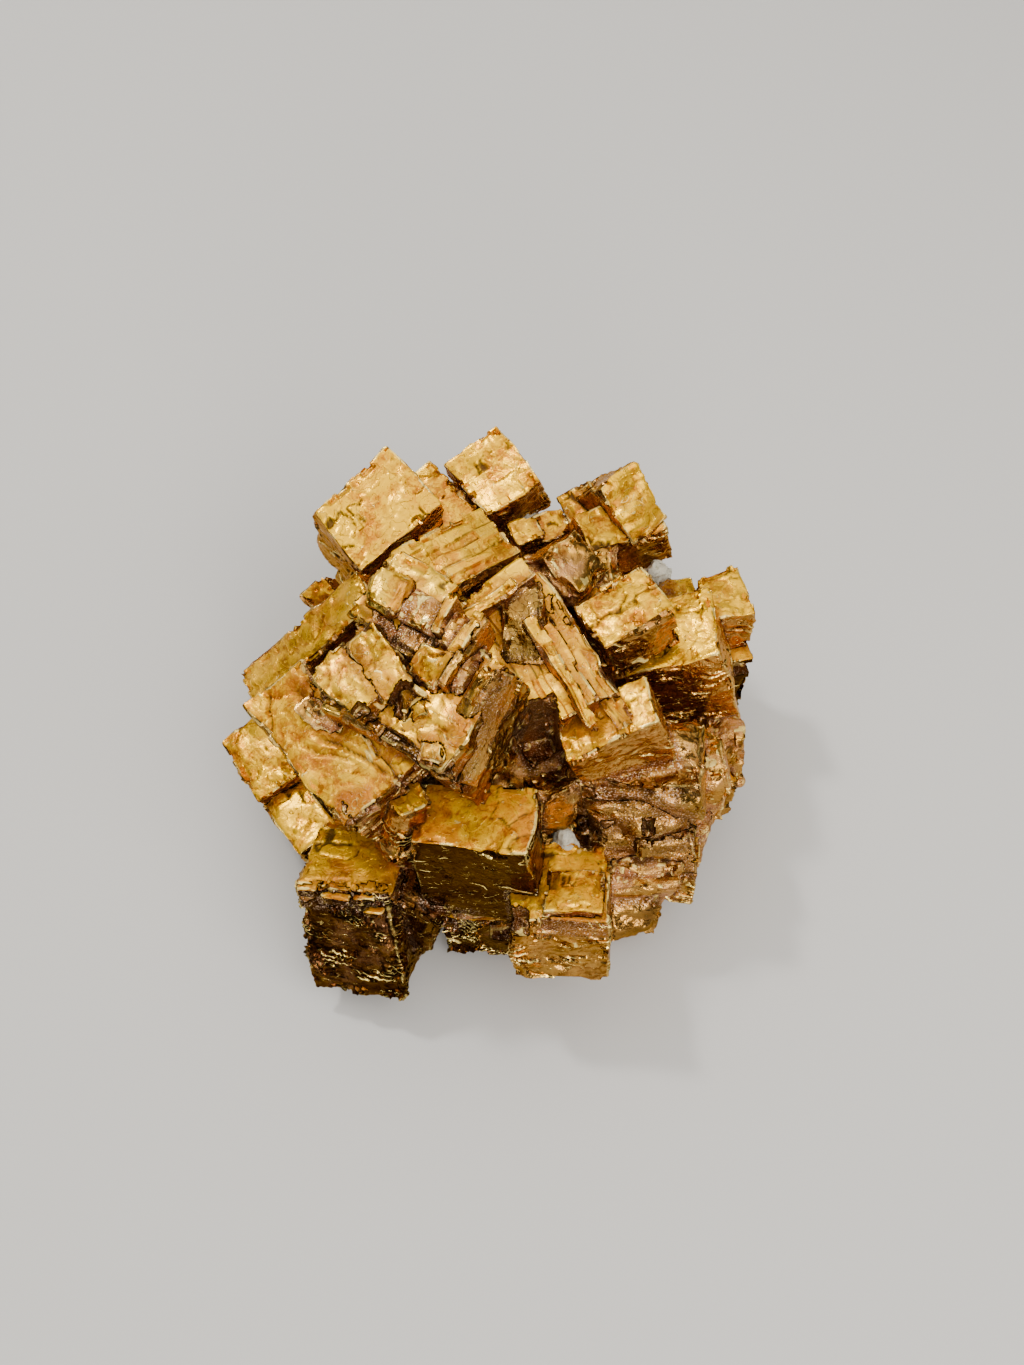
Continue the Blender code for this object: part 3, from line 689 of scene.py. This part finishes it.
def carve(block, crystal, seed, sizes):
    """Wears a block's edges, gives its faces their relief and sets it in its place."""
    habit = HABITS[crystal.habit]
    flat = points_of(block.data)
    half = np.array(crystal.size, np.float32) / 2
    shift = [SCATTER * hashed(np.array([[seed, axis, 0]]), 1)[0] for axis in range(3)]
    own = flat + np.array(shift)

    worn = fractal(own / 1.6, seed) + 2.5 * smooth(0.25, 0.8, noise(own / 3, seed + 1))
    wear = habit.wear * sizes.wear / MM * (1.0 + 1.1 * worn)
    wear = np.clip(wear, LEAST_WEAR, MOST_WEAR * half.min())[:, None]
    inner = np.clip(flat, wear - half, half - wear)
    outward = (flat - inner) / np.linalg.norm(flat - inner, axis=1, keepdims=True)

    on_top = smooth(0.5, 0.8, np.abs(outward[:, 2]))
    top = RELIEFS[habit.top](own, seed + 100, habit, sizes)
    side = RELIEFS[habit.side](own, seed + 200, habit, sizes)
    height, high, lip, crack, _ = (side_part + (top_part - side_part) * on_top
                                   for top_part, side_part in zip(top, side))
    margins = np.sort(half - np.abs(flat), axis=1)[:, 1]
    number, _ = blocks(warped(own, seed + 50, 0.2, 0.6) / 1.3, seed + 51)
    notch = smooth(1.1, 0.3, margins) * smooth(0.35, 0.6, number)
    furrow, darkening = furrowed(crystal, flat, own, seed)
    height = habit.depth * height - sizes.notch / MM * notch - on_top * furrow
    height = np.clip(height, *RELIEF_LIMITS)[:, None]
    bend = np.stack([noise(own / 4.6, seed + axis) + 0.3 * noise(own / 1.6, seed + axis + 5)
                     for axis in range(60, 63)], 1)

    spin = turn_matrix(crystal.turn)
    placed = inner + outward * (wear + height) + habit.bend * sizes.bend / MM * bend
    placed = placed @ spin.T + crystal.at
    set_points(block.data, placed)

    up = (outward @ spin.T)[:, 2]
    near = nearness(crystal, placed)
    rust = np.maximum(smooth(-0.2, 0.4, fractal(own / 2.2, seed + 83)), smooth(0.7, 1.0, near))
    # Pale worn edges, drawn as wear and painted highlight together.
    bare = smooth(0.4, 0.05, margins) * smooth(-0.35, 0.35, noise(own / 1.4, seed + 70))
    worn_and_glinting_grains = habit.bare * smooth(-0.4, 0.2, noise(own / 0.5, seed + 71))
    # What each point of the skin shows, from 0 to 1 but for the run, as attributes.
    masks = {
        # Gold on faces that look up, partly painted light from above.
        "gold": habit.gold * smooth(0.5, 0.75, up + 0.1 * noise(own / 2.6, seed + 80)),
        "tone": np.full(len(own), habit.tone),
        "olive": habit.olive * smooth(-0.35, 0.25, noise(own / 3.5, seed + 82)),
        "rust": habit.rust * rust,
        # How high a point stands, for painted shade in the lows.
        "high": high,
        "lip": lip,
        "bare": np.maximum(bare, worn_and_glinting_grains),
        "run": np.where(on_top > 0.5, top[4], side[4]) % RUN_WRAP,
        # Dark cracks: real ones between plates, and painted shade in troughs, at feet of ridges and
        # ledges, in notches and furrows.
        "crack": np.maximum(np.maximum(crack, 0.15 * notch), on_top * darkening),
        # Nearness to another crystal, for painted shade where crystals meet and for frost.
        "join": near,
    }
    for name, mask in masks.items():
        layer = block.data.attributes.new(name, "FLOAT", "POINT")
        layer.data.foreach_set("value", mask.astype(np.float32))
    layer = block.data.attributes.new("own", "FLOAT_VECTOR", "POINT")
    layer.data.foreach_set("vector", own.astype(np.float32).ravel())


def grown(crystal, seed):
    """One crystal as a closed mesh with its relief."""
    sizes = bpy.context.scene.pyrite_sizes
    block = netted_block(crystal.name, crystal.size, sizes.net / MM * crystal.net)
    carve(block, crystal, seed, sizes)
    return block


def combine(piece, tools, operation):
    """Joins solids to the piece or takes them away from it, and deletes them."""
    group = bpy.data.collections.new(piece.name + "_tools")
    bpy.context.scene.collection.children.link(group)
    for tool in tools:
        group.objects.link(tool)
    deselect_all()
    bpy.context.view_layer.objects.active = piece
    piece.select_set(True)
    boolean = piece.modifiers.new(operation, "BOOLEAN")
    boolean.operation = operation
    boolean.solver = "MANIFOLD"
    boolean.operand_type = "COLLECTION"
    boolean.collection = group
    bpy.ops.object.modifier_apply(modifier=boolean.name)
    for tool in tools:
        bpy.data.objects.remove(tool, do_unlink=True)
    bpy.data.collections.remove(group)


def ground_block():
    """The solid ground, for cutting a piece's underside flat."""
    deselect_all()
    bpy.ops.mesh.primitive_cube_add(size=GROUND_SIZE, location=(0, 0, -GROUND_SIZE / 2))
    return bpy.context.object


def grow_piece(name, crystals, seed):
    """Joins a group's crystals in one piece, takes its hollows out and gives it its skin."""
    solids = [grown(crystal, seed + CRYSTAL_SEEDS * number) for number, crystal in enumerate(crystals)]
    piece = solids[0]
    piece.name = name
    piece.data.name = name
    combine(piece, solids[1:], "UNION")
    cutters = [grown(hollow, seed + HOLLOW_SEED + number)
               for number, hollow in enumerate(HOLLOWS.get(name, ()))]
    combine(piece, cutters + [ground_block()], "DIFFERENCE")
    deselect_all()
    piece.select_set(True)
    bpy.context.view_layer.objects.active = piece
    bpy.ops.object.shade_smooth_by_angle(angle=SMOOTH_ANGLE)
    if not piece.data.polygons:
        raise RuntimeError(f"{name} came out empty")
    piece.data.materials.clear()
    piece.data.materials.append(skin_material())
    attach(piece, BODY)
    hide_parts(NODE)


# ---- materials --------------------------------------------------------------------------------

SHEEN = (1.0, 0.72, 0.42)   # tint of the shine at a glancing angle
SKIN_BUMP = 0.00025         # metres that the height of the skin's fine relief stands for
ROCK_BUMP = 0.0002

# Sockets of a Mix node that mixes colours.
MIX_SHARE, MIX_FIRST, MIX_SECOND, MIX_RESULT = 0, 6, 7, 2


class Value:
    """A number that changes over a surface; Python's signs add the Math nodes."""

    def __init__(self, nodes, socket):
        self.nodes = nodes
        self.socket = socket

    def worked(self, operation, first, second, clamp=False):
        """The result of one Math node."""
        node = self.nodes.add("ShaderNodeMath", {"operation": operation, "use_clamp": clamp},
                              {0: first, 1: second})
        return Value(self.nodes, node.outputs[0])

    def __add__(self, other):
        return self.worked("ADD", self, other)

    def __mul__(self, other):
        return self.worked("MULTIPLY", self, other)

    def __sub__(self, other):
        return self.worked("SUBTRACT", self, other)

    def __rsub__(self, other):
        return self.worked("SUBTRACT", other, self)

    __radd__ = __add__
    __rmul__ = __mul__

    def held(self):
        """The same number, kept from 0 to 1."""
        return self.worked("ADD", self, 0.0, clamp=True)

    def part(self):
        """What is left over the whole number below."""
        return self.worked("FRACT", self, 0.0)


class Nodes:
    """Builds one material's nodes."""

    def __init__(self, name):
        self.material = bpy.data.materials.new(name)
        self.material.use_nodes = True
        self.tree = self.material.node_tree
        self.shader = self.tree.nodes["Principled BSDF"]
        self.place = self.add("ShaderNodeTexCoord").outputs["Object"]

    def add(self, kind, settings=None, inputs=None):
        """A node of this kind, with its settings first and then its values and links."""
        node = self.tree.nodes.new(kind)
        for key, value in (settings or {}).items():
            setattr(node, key, value)
        self.feed(node, inputs or {})
        return node

    def feed(self, node, inputs):
        """Sets values and links on a node's input sockets."""
        for key, value in inputs.items():
            socket = value.socket if isinstance(value, Value) else value
            if isinstance(socket, bpy.types.NodeSocket):
                self.tree.links.new(socket, node.inputs[key])
            else:
                node.inputs[key].default_value = socket

    def noise(self, size, detail=3.0, roughness=0.55, stretch=(1, 1, 1)):
        """Noise with lumps of this size in the place's own unit."""
        place = self.add("ShaderNodeVectorMath", {"operation": "MULTIPLY"},
                         {0: self.place, 1: stretch}).outputs[0]
        node = self.add("ShaderNodeTexNoise", {}, {
            "Vector": place, "Scale": 1 / size, "Detail": detail, "Roughness": roughness})
        return Value(self, node.outputs["Fac"])

    def mask(self, name):
        """One of the piece's own attributes."""
        node = self.add("ShaderNodeAttribute", {"attribute_name": name})
        return Value(self, node.outputs["Fac"])

    def ramp(self, value, low, high):
        """Value eased from 0 at low to 1 at high."""
        node = self.add("ShaderNodeMapRange", {"interpolation_type": "SMOOTHSTEP"},
                        {"Value": value, "From Min": low, "From Max": high})
        return Value(self, node.outputs["Result"])

    def mix(self, share, first, second, blend="MIX"):
        """Second colour over the first, by a share from 0 to 1."""
        node = self.add("ShaderNodeMix", {"data_type": "RGBA", "blend_type": blend},
                        {MIX_SHARE: share, MIX_FIRST: first, MIX_SECOND: second})
        return node.outputs[MIX_RESULT]

    def bump(self, height, distance, strength):
        """A bumped normal from a height that changes over the surface."""
        node = self.add("ShaderNodeBump", {}, {
            "Height": height, "Distance": distance, "Strength": strength})
        return node.outputs["Normal"]


def rgba(colour, gain=1.0):
    """A colour with its alpha, made stronger by the gain."""
    return (*(gain * channel for channel in colour), 1.0)


def skin_material():
    """Oxide skin: golden, olive, chocolate and rusty films, painted glints and wear on lips and edges,
    dark cracks and painted shade.
    """
    made = bpy.data.materials.get("oxide_skin")
    if made:
        return made
    colours = bpy.context.scene.pyrite_colours
    nodes = Nodes("oxide_skin")
    nodes.place = nodes.add("ShaderNodeAttribute", {"attribute_name": "own"}).outputs["Vector"]

    # Patterns from coarse to fine, and thin steps that follow each other like contour lines.
    patch = nodes.noise(3.4)
    mottle = nodes.noise(1.0, roughness=0.5)
    grain = nodes.noise(0.25, roughness=0.6)
    speck = nodes.noise(0.12, 2.0, 0.6)
    flow = nodes.noise(2.4, 2.5, 0.5, (1, 1, 1.8)) * 8
    step = flow.part()
    riser = nodes.ramp(step, 0.9, 0.98)

    # What the crystals' attributes say, with ragged outlines.
    own_tone = nodes.mask("tone")
    olive = nodes.mask("olive")
    rust = nodes.mask("rust")
    crack = nodes.mask("crack")
    near = nodes.mask("join") + (mottle - 0.5) * 0.5
    join = nodes.ramp(near, 0.55, 1.1)
    gold = nodes.ramp(nodes.mask("gold") + (mottle - 0.5) * 0.5, 0.2, 0.7)

    # Pale painted glints on the lips of whole ridges and on the risers of the steps, and pale worn
    # edges that are part wear and part painted highlight.
    part = nodes.mask("run").part()
    line = nodes.ramp(part, 0.84, 0.9) * nodes.ramp(part, 0.99, 0.95)
    broken = (grain - 0.5) * 0.5 + (nodes.noise(1.3, 2.0, 0.5) - 0.5) * 1.6
    lip = nodes.ramp(nodes.mask("lip") * line + broken, 0.4, 0.8) * line
    bare = nodes.ramp(nodes.mask("bare") + (grain - 0.5) * 0.9, 0.4, 0.8)
    glint = riser * nodes.ramp(nodes.noise(1.3, 3.0, 0.6, (1, 1, 1.7)), 0.5, 0.6)
    pale = (lip * 0.85 + bare * (gold * 0.6 + 0.3) + glint * 0.6).held()

    # Films of oxide: brown and olive on steep faces, orange and yellow gold on the others; the
    # gold on faces that look up and the dark of steep faces are partly painted light and shade.
    tone = nodes.ramp(own_tone + (patch - 0.5) * 0.8 + (mottle - 0.5) * 0.4, 0.0, 1.0)
    brown = nodes.mix(tone, rgba(colours.chocolate), rgba(colours.amber))
    brown = nodes.mix(olive * 0.6, brown, rgba(colours.olive))
    # Gold leans yellow on crystals with a light tone and orange on dark ones, painted to follow how
    # brightly each is lit.
    yellow = patch + (mottle - 0.5) * 0.4 + (grain - 0.5) * 0.3 + own_tone * 0.16
    bright = nodes.mix(nodes.ramp(yellow, 0.36, 0.66), rgba(colours.orange), rgba(colours.gold))
    bright = nodes.mix(olive * 0.4, bright, rgba(colours.olive, 1.3))
    colour = nodes.mix(gold, brown, bright)
    rusty = rust * nodes.ramp(mottle, 0.38, 0.6) * (0.85 - gold * 0.65)
    colour = nodes.mix(rusty.held(), colour, rgba(colours.rust))

    # Painted shade in what lies low and at the feet of steps, dark specks, painted shade where
    # crystals meet, frosty specks, pale painted glints and worn edges, and dark cracks last of all,
    # partly painted shade.
    light = nodes.mask("high") * 0.9 + step * 0.35 + (mottle - 0.5) * 0.7 + (grain - 0.5) * 0.4
    low = nodes.ramp(light, 0.72, 0.26) * (0.85 - gold * 0.15)
    colour = nodes.mix(low, colour, rgba(colours.shade), "MULTIPLY")
    colour = nodes.mix(nodes.ramp(speck, 0.34, 0.26) * rust, colour, rgba(colours.chocolate))
    # Painted shade where crystals meet.
    colour = nodes.mix((join * 0.7).held(), colour, rgba(colours.shade), "MULTIPLY")
    frost = (nodes.ramp(near, 0.4, 1.0) * 0.8 + rust * 0.7) * nodes.ramp(speck, 0.56, 0.66)
    frost = frost * (1.0 - gold * 0.8)
    colour = nodes.mix((frost * 0.8).held(), colour, rgba(colours.frost))
    colour = nodes.mix(pale, colour, rgba(colours.lip))
    # Dark cracks, partly painted shade in the lows.
    colour = nodes.mix((crack * 0.9).held(), colour, rgba(colours.crevice_and_shade))

    roughness = 0.12 + grain * 0.14 + gold * 0.1 + rust * 0.15 + join * 0.2 + crack * 0.2
    metallic = colours.metal - rust * 0.3 - gold * (0.7 - own_tone * 0.45)
    metallic = metallic - pale * (0.4 - gold * 0.4)
    height = (flow - step + riser) * 0.5 + grain * 0.08 + speck * rust * 0.6
    height = height + (mottle * 0.9 + patch * 2.6) * (1.0 - gold * 0.6)
    nodes.feed(nodes.shader, {
        "Specular Tint": rgba(SHEEN), "Base Color": colour, "Roughness": roughness,
        "Metallic": metallic.held(), "Normal": nodes.bump(height, SKIN_BUMP, 0.75)})
    return nodes.material


def rock_material():
    """Pale granular host rock."""
    colours = bpy.context.scene.pyrite_colours
    nodes = Nodes("host_rock")
    grain = nodes.noise(0.0004, 4.0, 0.6)
    patch = nodes.noise(0.0012)
    colour = nodes.mix(nodes.ramp(patch, 0.35, 0.7), rgba(colours.rock), rgba(colours.rock_pale))
    colour = nodes.mix(nodes.ramp(grain, 0.55, 0.75) * 0.6, colour, rgba(colours.rock_dark))
    nodes.feed(nodes.shader, {"Base Color": colour, "Roughness": 0.85,
                              "Normal": nodes.bump(grain, ROCK_BUMP, 0.8)})
    return nodes.material


def floor_material():
    """Plain pale matt floor."""
    nodes = Nodes("pale_floor")
    nodes.feed(nodes.shader, {"Base Color": rgba(bpy.context.scene.pyrite_colours.floor),
                              "Roughness": 0.9})
    return nodes.material


# ---- operators --------------------------------------------------------------------------------

class PieceOperator(bpy.types.Operator):
    """Grows one group of crystals."""
    bl_options = {"REGISTER", "UNDO"}
    piece = ""
    crystals = ()
    seed = 0

    def execute(self, context):
        grow_piece(self.piece, self.crystals, self.seed)
        return {"FINISHED"}


class PYRITE_OT_back(PieceOperator):
    """Grow the golden and brown cubes along the back"""
    bl_idname = "pyrite.back"
    bl_label = "Back crystals"
    piece, crystals, seed = "back", BACK, 1000


class PYRITE_OT_right(PieceOperator):
    """Grow the cubes on the right-hand side"""
    bl_idname = "pyrite.right"
    bl_label = "Right-hand crystals"
    piece, crystals, seed = "right", RIGHT, 2000


class PYRITE_OT_front(PieceOperator):
    """Grow the large dark cubes along the front"""
    bl_idname = "pyrite.front"
    bl_label = "Front crystals"
    piece, crystals, seed = "front", FRONT, 3000


class PYRITE_OT_shelves(PieceOperator):
    """Grow the rusty shelves at the front right"""
    bl_idname = "pyrite.shelves"
    bl_label = "Rusty shelves"
    piece, crystals, seed = "shelves", SHELVES, 4000


class PYRITE_OT_left(PieceOperator):
    """Grow the slabs and cubes on the left-hand side"""
    bl_idname = "pyrite.left"
    bl_label = "Left-hand crystals"
    piece, crystals, seed = "left", LEFT, 5000


class PYRITE_OT_crown(PieceOperator):
    """Grow the great stepped crystal on top"""
    bl_idname = "pyrite.crown"
    bl_label = "Crown"
    piece, crystals, seed = "crown", CROWN, 6000


class PYRITE_OT_shards(PieceOperator):
    """Set the crumpled shards in the crown's pit"""
    bl_idname = "pyrite.shards"
    bl_label = "Pit shards"
    piece, crystals, seed = "shards", SHARDS, 6500


class PYRITE_OT_slope(PieceOperator):
    """Grow the ridged slope beside the crown"""
    bl_idname = "pyrite.slope"
    bl_label = "Ridged slope"
    piece, crystals, seed = "slope", SLOPE, 7000


class PYRITE_OT_flanks(PieceOperator):
    """Grow the crystals low round the flanks"""
    bl_idname = "pyrite.flanks"
    bl_label = "Flank crystals"
    piece, crystals, seed = "flanks", FLANKS, 8000


class PYRITE_OT_core(PieceOperator):
    """Make the massive pyrite that shows between the crystals"""
    bl_idname = "pyrite.core"
    bl_label = "Massive middle"
    piece, crystals, seed = "core", CORE, 9000


class PYRITE_OT_host_rock(bpy.types.Operator):
    """Set grains of host rock in the gaps between crystals"""
    bl_idname = "pyrite.host_rock"
    bl_label = "Host rock grains"

    def execute(self, context):
        material = rock_material()
        for number, (name, at, size, turn) in enumerate(ROCK_GRAINS):
            deselect_all()
            bpy.ops.mesh.primitive_ico_sphere_add(subdivisions=ROCK_CUTS, radius=0.5)
            grain = bpy.context.object
            grain.name = name
            grain.data.name = name
            points = points_of(grain.data)
            outward = points / np.linalg.norm(points, axis=1, keepdims=True)
            own = points * size + 11 * number
            facet, _ = blocks(warped(own, 40 + number, 0.3, 0.8) / 1.1, 45 + number)
            swell = ROCK_SWELL * facet + ROCK_SWELL * fractal(own / 1.3, 50 + number)
            placed = points * size + outward * swell[:, None]
            set_points(grain.data, placed @ turn_matrix((0, 0, turn)).T + at)
            drop_uvs(grain.data)
            bpy.ops.object.shade_smooth()
            grain.data.materials.append(material)
            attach(grain, BODY)
        return {"FINISHED"}


class PYRITE_OT_studio(bpy.types.Operator):
    """Lay the pale floor, hang the soft lights and set up the camera"""
    bl_idname = "pyrite.studio"
    bl_label = "Studio"

    def area_light(self, name, at, size, power, colour):
        """A square soft light that faces the cluster."""
        data = bpy.data.lights.new(name, "AREA")
        data.size = size
        data.energy = power
        data.color = colour
        lamp = bpy.data.objects.new(name, data)
        bpy.context.scene.collection.objects.link(lamp)
        lamp.location = at
        lamp.rotation_euler = (LIGHTS_AIM - Vector(at)).to_track_quat("-Z", "Y").to_euler()

    def execute(self, context):
        studio = context.scene.pyrite_studio
        deselect_all()
        bpy.ops.mesh.primitive_plane_add(size=FLOOR_SIZE, location=(0, 0, -FLOOR_DROP))
        floor = context.object
        floor.name = "floor"
        floor.data.materials.append(floor_material())
        for name, at, size, colour in LIGHTS:
            self.area_light(name + "_light", at, size, getattr(studio, name), colour)
        world = bpy.data.worlds.new("room")
        context.scene.world = world
        world.use_nodes = True
        backdrop = world.node_tree.nodes["Background"]
        backdrop.inputs["Color"].default_value = (1.0, 0.98, 0.95, 1.0)
        backdrop.inputs["Strength"].default_value = studio.room
        data = bpy.data.cameras.new("camera")
        data.sensor_width = 36
        data.lens = studio.lens
        data.clip_start = 0.005
        data.clip_end = 10
        camera = bpy.data.objects.new("camera", data)
        context.scene.collection.objects.link(camera)
        camera.location = studio.camera_at
        camera.rotation_euler = (studio.pitch, 0, 0)
        context.scene.camera = camera
        return {"FINISHED"}


OPERATORS = (PYRITE_OT_back, PYRITE_OT_right, PYRITE_OT_front, PYRITE_OT_shelves,
             PYRITE_OT_left, PYRITE_OT_crown, PYRITE_OT_shards, PYRITE_OT_slope, PYRITE_OT_flanks,
             PYRITE_OT_core, PYRITE_OT_host_rock, PYRITE_OT_studio)


class PYRITE_PT_sidebar(bpy.types.Panel):
    """Lists the pieces of the cluster and their settings"""
    bl_label = "Oxidised pyrite"
    bl_idname = "PYRITE_PT_sidebar"
    bl_space_type = "VIEW_3D"
    bl_region_type = "UI"
    bl_category = "Pyrite"

    def draw(self, context):
        for group in SETTINGS:
            settings = getattr(context.scene, group)
            box = self.layout.box()
            for name in settings.__annotations__:
                box.prop(settings, name)
        for operator in OPERATORS:
            self.layout.operator(operator.bl_idname)


CLASSES = (PyriteSizes, PyriteColours, PyriteStudio, *OPERATORS, PYRITE_PT_sidebar)
SETTINGS = {"pyrite_sizes": PyriteSizes, "pyrite_colours": PyriteColours,
            "pyrite_studio": PyriteStudio}


def register():
    for made in CLASSES:
        bpy.utils.register_class(made)
    for name, group in SETTINGS.items():
        setattr(bpy.types.Scene, name, bpy.props.PointerProperty(type=group))


def unregister():
    for name in SETTINGS:
        delattr(bpy.types.Scene, name)
    for made in reversed(CLASSES):
        bpy.utils.unregister_class(made)


def main():
    register()
    for operator in OPERATORS:
        group, name = operator.bl_idname.split(".")
        getattr(getattr(bpy.ops, group), name)()


if __name__ == "__main__":
    main()
